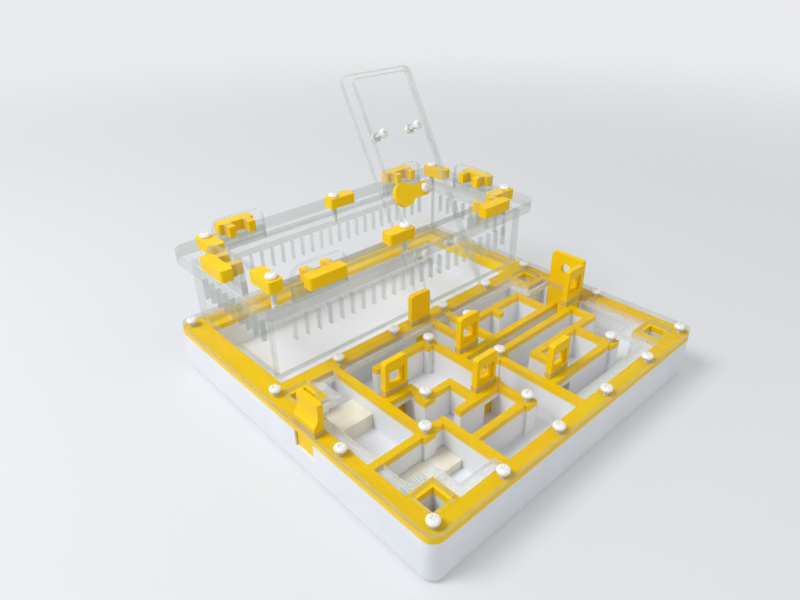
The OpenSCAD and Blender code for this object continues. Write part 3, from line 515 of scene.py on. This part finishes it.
def screwSet(pieceName, nodeName, body, out, up):
    # threaded screws on the places of the plain ones; out is the way the heads point
    side = up.cross(out)
    turn = Matrix((side, up, out)).transposed()
    blanks = {}
    joined = bmesh.new()
    for number, group in enumerate(islands(nodeName)):
        local = [turn.transposed() @ p for p in group]
        low = [min(p[i] for p in local) for i in range(3)]
        high = [max(p[i] for p in local) for i in range(3)]
        head = screw["headHeight"] * mm
        length = round((high[2] - low[2] - head) / mm, 2)
        if length not in blanks:
            blanks[length] = cutCross(screwMesh(length))
        seat = turn @ Vector(((low[0] + high[0]) / 2, (low[1] + high[1]) / 2, high[2] - head))
        part = blanks[length].copy()
        spin = Matrix.Rotation(number * screw["spin"], 4, "Z")           # no two crosses lie alike
        part.transform(Matrix.Translation(seat) @ turn.to_4x4() @ spin)
        joined.from_mesh(part)
    data = bpy.data.meshes.new(pieceName)
    joined.to_mesh(data)
    joined.free()
    for face in data.polygons:
        face.use_smooth = True
    piece = bpy.data.objects.new(pieceName, data)
    scene.collection.objects.link(piece)
    data.materials.append(nylon)
    sharp = piece.modifiers.new("sharpEdges", "EDGE_SPLIT")
    sharp.split_angle = math.radians(screw["splitAngle"])
    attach(piece, body)
    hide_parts(nodeName)


upright = Vector((0, 0, 1))
away = Vector((0, 1, 0))
screwSet("coverScrews", "cover_screws", "habitat", upright, away)
screwSet("latchScrews", "latch_screws", "habitat", upright, away)
screwSet("lidScrews", "lid_screws", "lid", lidOut, lean)
screwSet("feedCoverScrew", "feed_cover_screw", "lid", lidOut, lean)
print("screws made")

# Floor, light and camera

room = {
    "floor": "#C8CACC", "floorSize": 30.0, "floorRough": 0.7,
    "floorLift": 0.2, "liftTone": "#F4F5F6",           # light of its own, for the views only
    "sweepStart": 0.22, "sweepEnd": 1.2,               # metres over which it turns into the backdrop
    "backdrop": "#E9EAEC",
    "worldStrength": 0.6,
}
lamps = {                 # place and aim in metres, size in metres, power in watts
    "keyLight": {"place": (-0.7, 0.25, 0.95), "aim": (0, 0, 0.02),
                  "size": 0.5, "power": 8.4, "tint": "#FBFCFF"},
    "fillLight": {"place": (0.25, -1.0, 0.6), "aim": (0, 0, 0.03),
                  "size": 0.8, "power": 1.5, "tint": "#FFFBF5"},
    "rimLight": {"place": (-0.9, 0.95, 0.7), "aim": (0, 0, 0.05),
                  "size": 0.6, "power": 1.3, "tint": "#FFFFFF"},
}

floorData = bpy.data.meshes.new("floor")
half = room["floorSize"] / 2
corners = [(-half, -half, 0), (half, -half, 0), (half, half, 0), (-half, half, 0)]
floorData.from_pydata(corners, [], [(0, 1, 2, 3)])
floor = bpy.data.objects.new("floor", floorData)
scene.collection.objects.link(floor)
floorMaterial, floorTree = startMaterial("paleFloor")
floorSeen = seenRays(floorTree)
lift = addNode(floorTree, "Math", {"operation": "MULTIPLY"}, {0: floorSeen, 1: room["floorLift"]})
floorShader = addNode(floorTree, "BsdfPrincipled", {}, {
    "Base Color": linear(room["floor"]), "Roughness": room["floorRough"],
    "Emission Color": linear(room["liftTone"]), "Emission Strength": lift.outputs["Value"]})
floorPlace = addNode(floorTree, "TexCoord").outputs["Object"]
outward = addNode(floorTree, "VectorMath", {"operation": "LENGTH"}, {0: floorPlace})
sweep = addNode(floorTree, "MapRange", {"interpolation_type": "SMOOTHSTEP"}, {
    "Value": outward.outputs["Value"], "From Min": room["sweepStart"], "From Max": room["sweepEnd"]})
sweep = addNode(floorTree, "Math", {"operation": "MULTIPLY"}, {0: sweep.outputs["Result"], 1: floorSeen})
farFloor = addNode(floorTree, "Emission", {}, {"Color": linear(room["backdrop"]), "Strength": 1.0})
floorMix = addNode(floorTree, "MixShader", {}, {
    0: sweep.outputs["Value"], 1: floorShader.outputs[0], 2: farFloor.outputs[0]})
endMaterial(floorTree, floorMix)
floorData.materials.append(floorMaterial)

world = bpy.data.worlds.new("studio")
scene.world = world
world.use_nodes = True
worldTree = world.node_tree
worldTree.nodes.clear()
level = addNode(worldTree, "MapRange", {}, {
    "Value": seenRays(worldTree), "To Min": room["worldStrength"], "To Max": 1.0})
glow = addNode(worldTree, "Background", {}, {
    "Color": linear(room["backdrop"]), "Strength": level.outputs["Result"]})
worldOut = worldTree.nodes.new("ShaderNodeOutputWorld")
worldTree.links.new(glow.outputs[0], worldOut.inputs["Surface"])


def softLight(name, look):
    data = bpy.data.lights.new(name, "AREA")
    data.shape = "DISK"
    data.size = look["size"]
    data.energy = look["power"]
    data.color = linear(look["tint"])[:3]
    lamp = bpy.data.objects.new(name, data)
    scene.collection.objects.link(lamp)
    lamp.location = look["place"]
    aim = Vector(look["aim"]) - Vector(look["place"])
    lamp.rotation_euler = aim.to_track_quat("-Z", "Y").to_euler()


for name, look in lamps.items():
    softLight(name, look)

# The view: where the photographer stood, in millimetres from the base's front corner

view = {
    "place": (-107.2, -102.0, 212.1),
    "azimuth": -42.29, "elevation": 30.11, "roll": -0.72,
    "lens": 28.02, "sensor": 36.0,
    "near": 10,           # millimetres before which nothing is drawn
}
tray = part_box("base_tray")[0]
az, el, roll = (math.radians(view[key]) for key in ("azimuth", "elevation", "roll"))
back = Vector((math.sin(az) * math.cos(el), -math.cos(az) * math.cos(el), math.sin(el)))
right = Vector((math.cos(az), math.sin(az), 0))
up = back.cross(right)
rolledRight = right * math.cos(roll) + up * math.sin(roll)
rolledUp = up * math.cos(roll) - right * math.sin(roll)
cameraData = bpy.data.cameras.new("camera")
cameraData.lens = view["lens"]
cameraData.sensor_width = view["sensor"]
cameraData.clip_start = view["near"] * mm
camera = bpy.data.objects.new("camera", cameraData)
scene.collection.objects.link(camera)
turn = Matrix((rolledRight, rolledUp, back)).transposed().to_4x4()
camera.matrix_world = Matrix.Translation(Vector(view["place"]) * mm + Vector((tray.x, tray.y, 0))) @ turn
scene.camera = camera
print("room ready")
